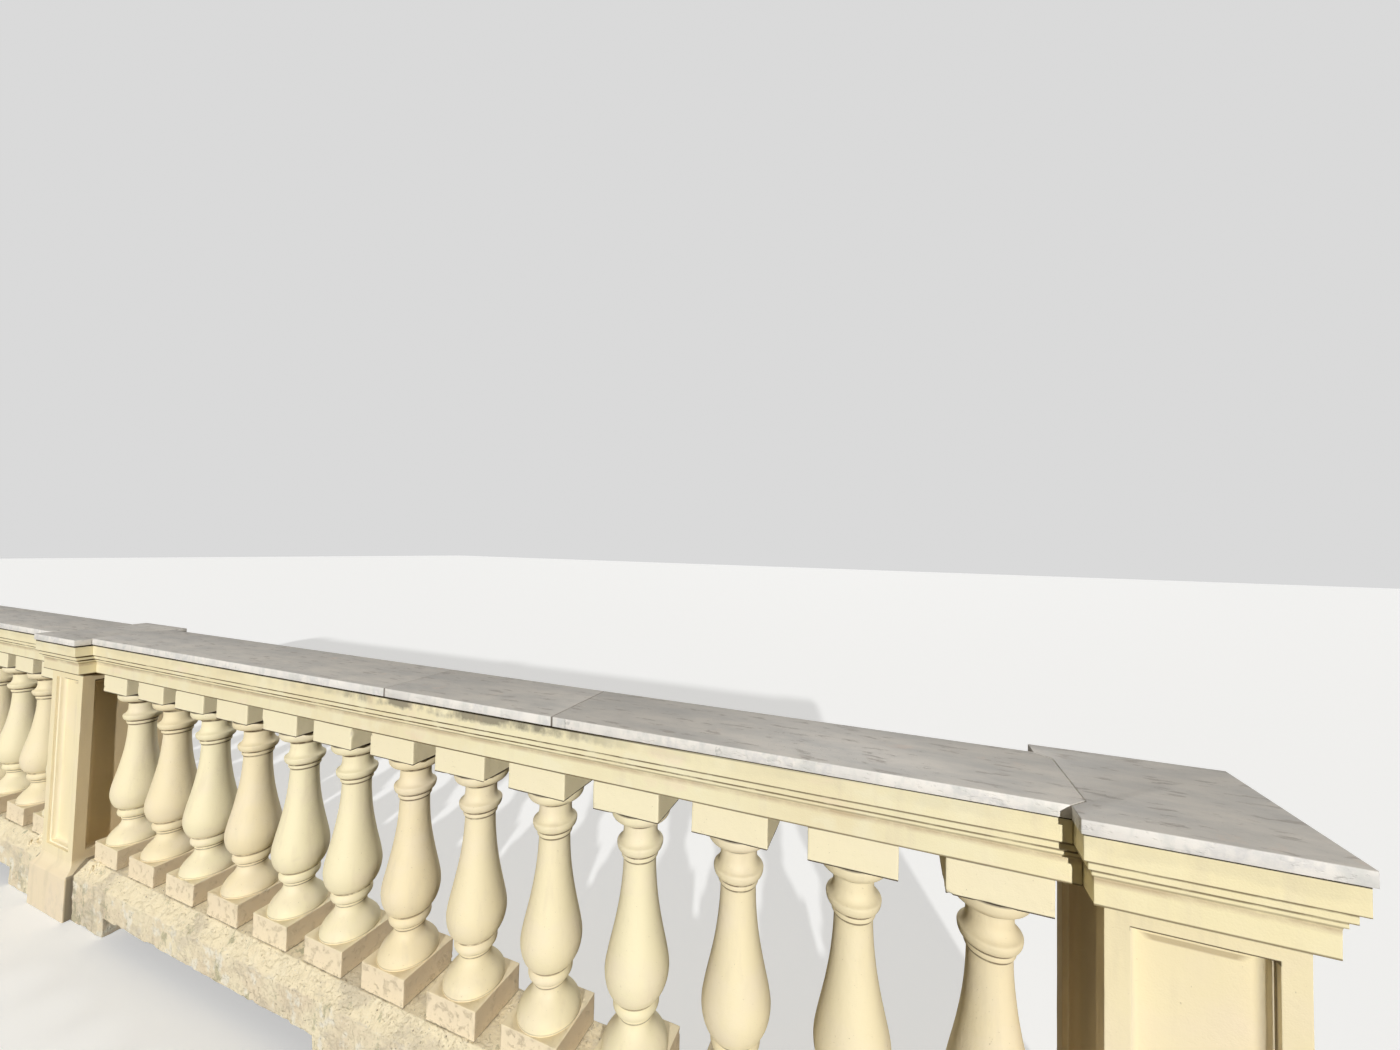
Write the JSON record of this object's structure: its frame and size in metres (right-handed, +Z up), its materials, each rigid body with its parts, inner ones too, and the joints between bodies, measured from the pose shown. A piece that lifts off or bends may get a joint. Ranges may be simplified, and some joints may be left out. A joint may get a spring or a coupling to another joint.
{
  "type": "stone balustrade",
  "caption": "Terrace balustrade with cast stone balusters between panelled piers, on a rendered kerb with drain slots, under a moulded rail and a marble coping.",
  "frame": {"origin": "centre of the middle pier, on the ground under it", "axes": "+X along the row, -Y towards the terrace, +Z up"},
  "size_m": [6.867, 0.307, 1],
  "materials": {
    "cast_stone": "matt masonry paint on cast stone",
    "cream_render": "matt masonry paint on smooth render",
    "kerb_render": "rough weathered render, flaked paint",
    "marble": "honed grey-veined white marble, weathered"
  },
  "bodies": {
    "root": {"pier_base_1": "cream_render", "pier_shaft_1": "cream_render", "pier_cap_1": "cream_render", "pier_coping_1": "marble", "pier_base_2": "cream_render", "pier_shaft_2": "cream_render", "pier_cap_2": "cream_render", "pier_coping_2": "marble", "pier_base_3": "cream_render", "pier_shaft_3": "cream_render", "pier_cap_3": "cream_render", "pier_coping_3": "marble", "kerb_1": "kerb_render", "rail_1": "cream_render", "coping_1": "marble", "baluster_1_01": "cast_stone", "baluster_1_02": "cast_stone", "baluster_1_03": "cast_stone", "baluster_1_04": "cast_stone", "baluster_1_05": "cast_stone", "baluster_1_06": "cast_stone", "baluster_1_07": "cast_stone", "baluster_1_08": "cast_stone", "baluster_1_09": "cast_stone", "baluster_1_10": "cast_stone", "baluster_1_11": "cast_stone", "baluster_1_12": "cast_stone", "baluster_1_13": "cast_stone", "kerb_2": "kerb_render", "rail_2": "cream_render", "coping_2": "marble", "baluster_2_01": "cast_stone", "baluster_2_02": "cast_stone", "baluster_2_03": "cast_stone", "baluster_2_04": "cast_stone", "baluster_2_05": "cast_stone", "baluster_2_06": "cast_stone", "baluster_2_07": "cast_stone", "baluster_2_08": "cast_stone", "baluster_2_09": "cast_stone", "baluster_2_10": "cast_stone", "baluster_2_11": "cast_stone", "baluster_2_12": "cast_stone", "baluster_2_13": "cast_stone"}
  },
  "joints": []
}
